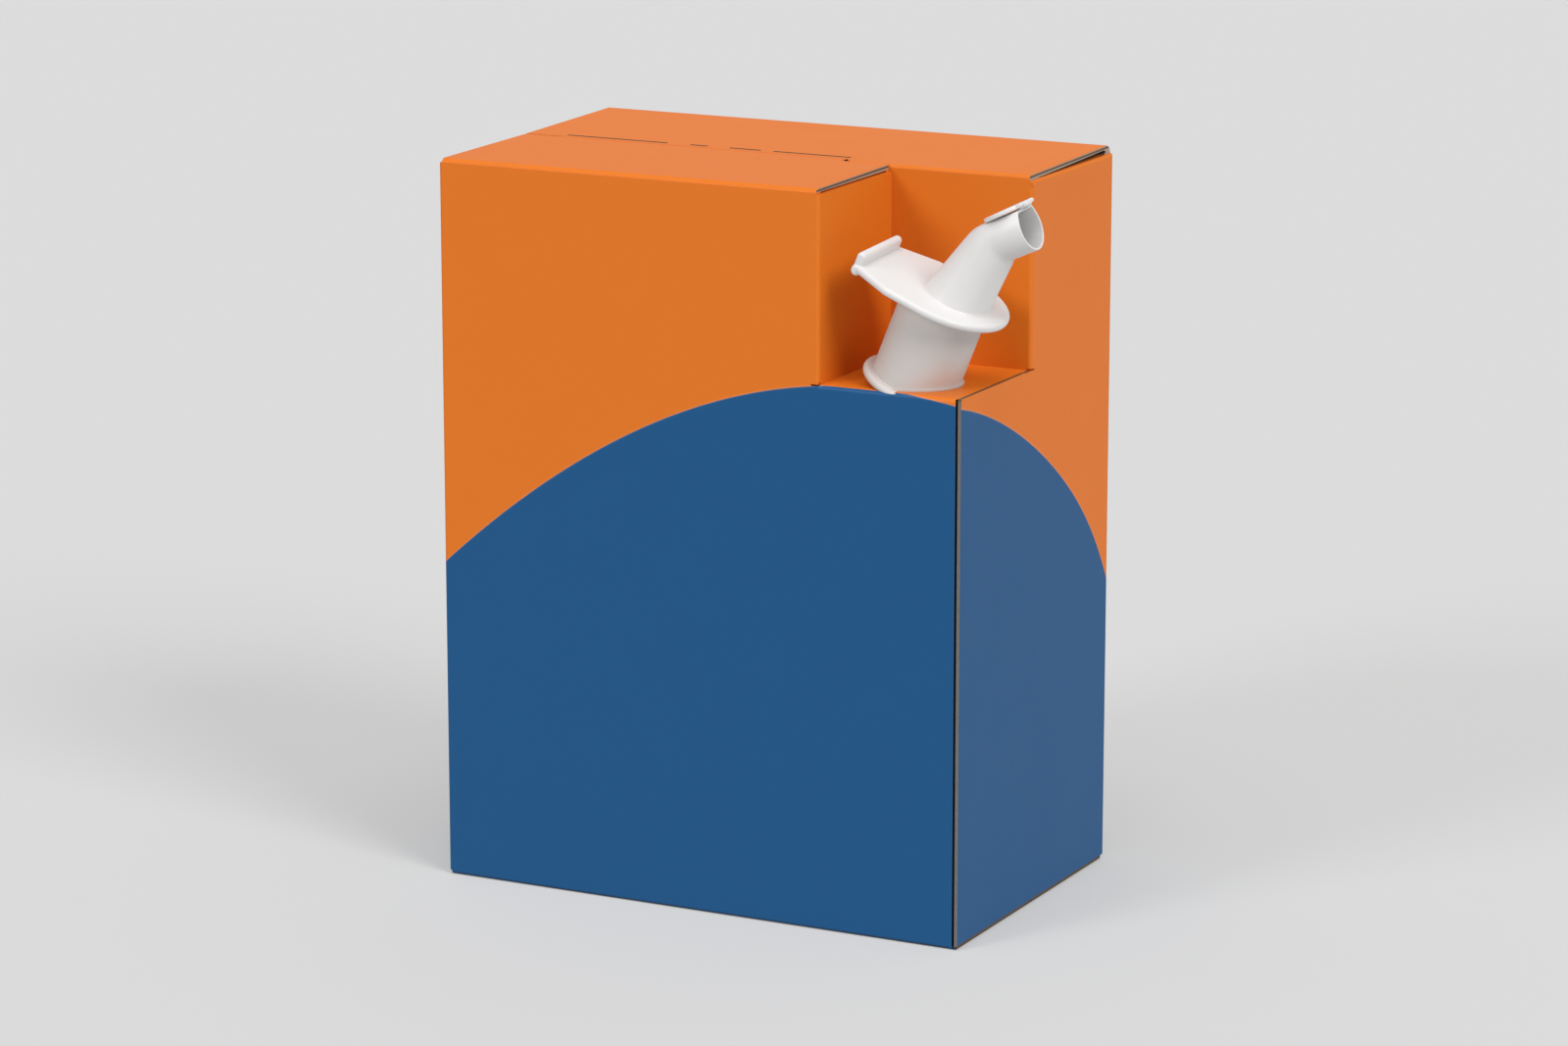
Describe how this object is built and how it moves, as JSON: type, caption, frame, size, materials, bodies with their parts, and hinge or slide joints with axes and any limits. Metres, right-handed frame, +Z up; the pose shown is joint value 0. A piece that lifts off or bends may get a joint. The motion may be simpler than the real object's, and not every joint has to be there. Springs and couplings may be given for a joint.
{
  "type": "box of cat litter",
  "caption": "Sealed corrugated carton of cat litter with a recess in its top corner, holding a leaning white pour spout with a hinged mouth lid.",
  "frame": {"origin": "middle of the carton's footprint, on the ground", "axes": "+X to the right of the front panel, where the recess is; +Y towards the rear panel; +Z up"},
  "size_m": [0.2728, 0.1591, 0.3207],
  "materials": {
    "carton": "printed corrugated board, satin, orange above a blue dome",
    "gland": "satin white moulding",
    "pour_spout": "satin white moulding",
    "mouth_lid": "satin white moulding"
  },
  "bodies": {
    "pack": {"carton": "carton", "gland": "gland", "pour_spout": "pour_spout"},
    "lid": {"mouth_lid": "mouth_lid"}
  },
  "joints": [
    {"name": "lid_hinge", "type": "hinge", "parent": "pack", "child": "lid", "pos_m": [0.14322, -0.05786, 0.31624], "axis": [-0.0026, 0.9985, 0.0555], "range_deg": [0, 274.8]}
  ]
}
